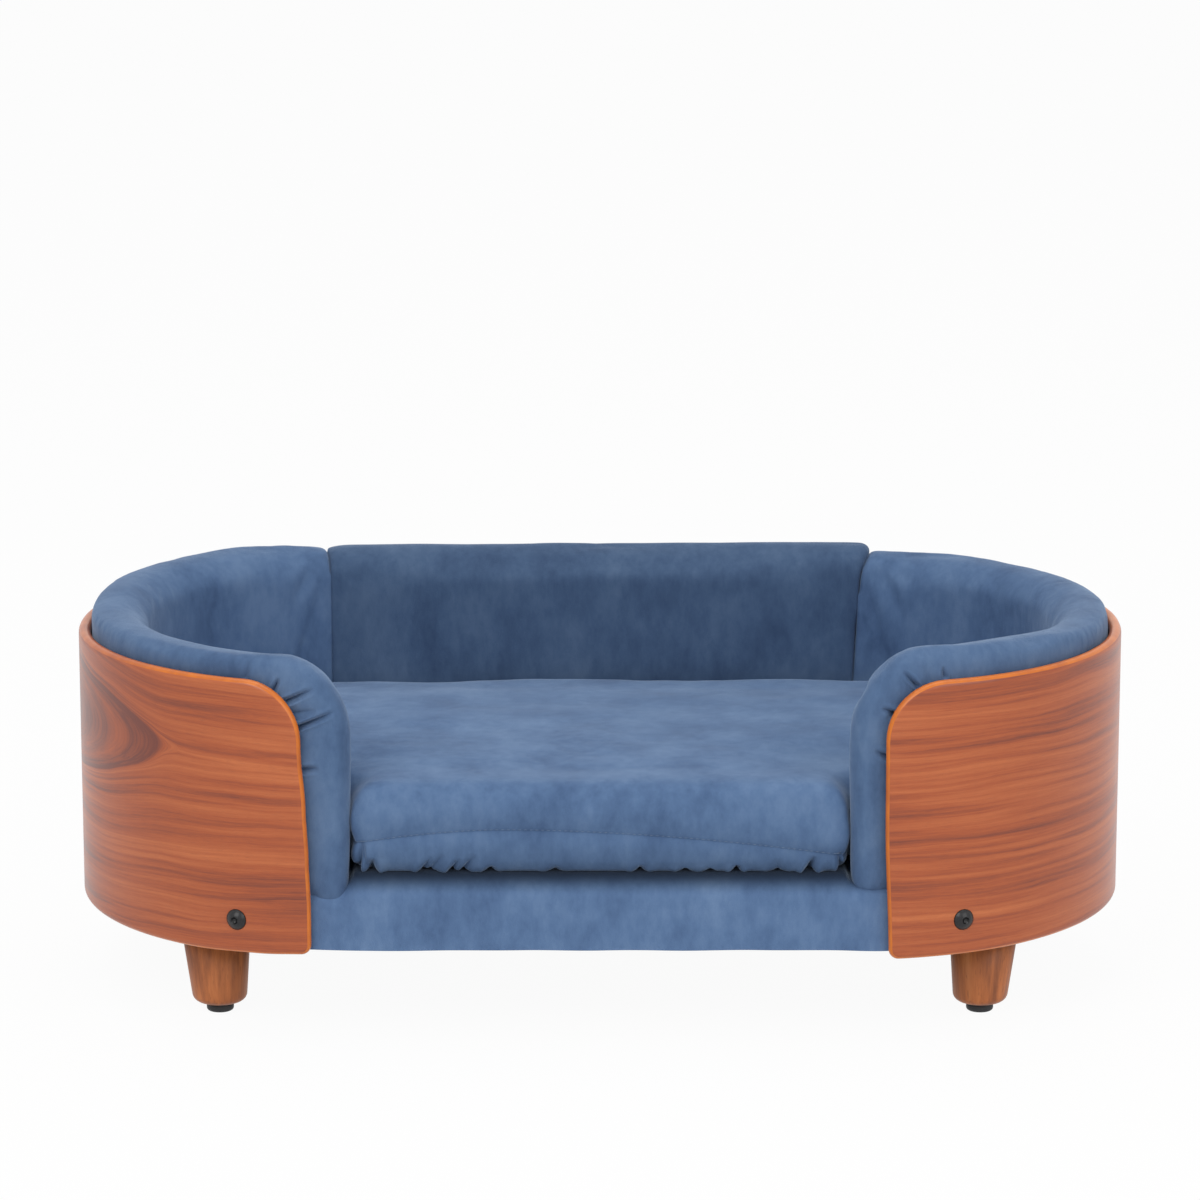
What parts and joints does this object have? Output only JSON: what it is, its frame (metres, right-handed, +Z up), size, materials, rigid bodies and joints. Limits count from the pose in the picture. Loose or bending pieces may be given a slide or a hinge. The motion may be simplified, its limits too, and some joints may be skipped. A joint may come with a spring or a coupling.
{
  "type": "raised pet sofa",
  "caption": "Raised oval pet sofa with bent plywood wings, upholstered bolsters, a lift-out boxed seat cushion, a fabric covered base and turned wooden legs.",
  "frame": {"origin": "on the floor under the middle of the bed, between the four glides", "axes": "+X along the bed's width to its right, +Y from the open front to the back, +Z up"},
  "size_m": [0.95, 0.4978, 0.35],
  "materials": {
    "walnut_veneer": "satin lacquered walnut veneer, reddish brown with horizontal grain and an orange rounded edge",
    "blue_velvet": "short napped steel blue velvet, soft and matt with a faint mottled nap",
    "foam": "open cell polyurethane foam",
    "fibre_filling": "polyester fibre wadding",
    "plywood": "raw poplar plywood",
    "zip_tape": "woven zip tape with a nylon coil",
    "bright_zinc": "zinc plated steel",
    "pine": "planed pine",
    "black_lining": "black non-woven lining",
    "leg_wood": "brown stained solid wood with upright grain, satin",
    "black_glide": "matt black plastic",
    "black_steel": "black coated steel"
  },
  "bodies": {
    "bed": {"left_wing_panel": "walnut_veneer", "right_wing_panel": "walnut_veneer", "back_panel": "walnut_veneer", "left_bolster_cover": "blue_velvet", "right_bolster_cover": "blue_velvet", "back_bolster_cover": "blue_velvet", "base_cover": "blue_velvet", "left_bolster_foam": "foam", "right_bolster_foam": "foam", "back_bolster_foam": "foam", "deck_foam": "foam", "left_bolster_board": "plywood", "right_bolster_board": "plywood", "back_bolster_board": "plywood", "base_deck": "plywood", "hanger_bolts": "bright_zinc", "plate_screws": "bright_zinc", "glide_screws": "bright_zinc", "insert_nuts": "bright_zinc", "front_left_leg_plate": "bright_zinc", "front_right_leg_plate": "bright_zinc", "rear_left_leg_plate": "bright_zinc", "rear_right_leg_plate": "bright_zinc", "base_front_rail": "pine", "base_back_rail": "pine", "base_left_end_rail": "pine", "base_right_end_rail": "pine", "base_left_cross_rail": "pine", "base_middle_rail": "pine", "base_right_cross_rail": "pine", "front_left_leg_block": "pine", "front_right_leg_block": "pine", "rear_left_leg_block": "pine", "rear_right_leg_block": "pine", "dust_cover": "black_lining", "front_left_leg": "leg_wood", "front_right_leg": "leg_wood", "rear_left_leg": "leg_wood", "rear_right_leg": "leg_wood", "front_left_glide": "black_glide", "front_right_glide": "black_glide", "rear_left_glide": "black_glide", "rear_right_glide": "black_glide", "wing_bolts": "black_steel", "back_bolts": "black_steel"},
    "seat_cushion": {"seat_cushion_cover": "blue_velvet", "seat_cushion_filling": "fibre_filling", "seat_cushion_foam": "foam", "seat_zip": "zip_tape"},
    "zip_slider": {"zip_slider": "bright_zinc"}
  },
  "joints": [
    {"name": "seat_cushion_lift", "type": "slide", "parent": "bed", "child": "seat_cushion", "axis": [0, 0, 1], "range_m": [0, 0.25]},
    {"name": "zip_pull", "type": "slide", "parent": "seat_cushion", "child": "zip_slider", "axis": [1, 0, 0], "range_m": [0, 0.394]}
  ]
}
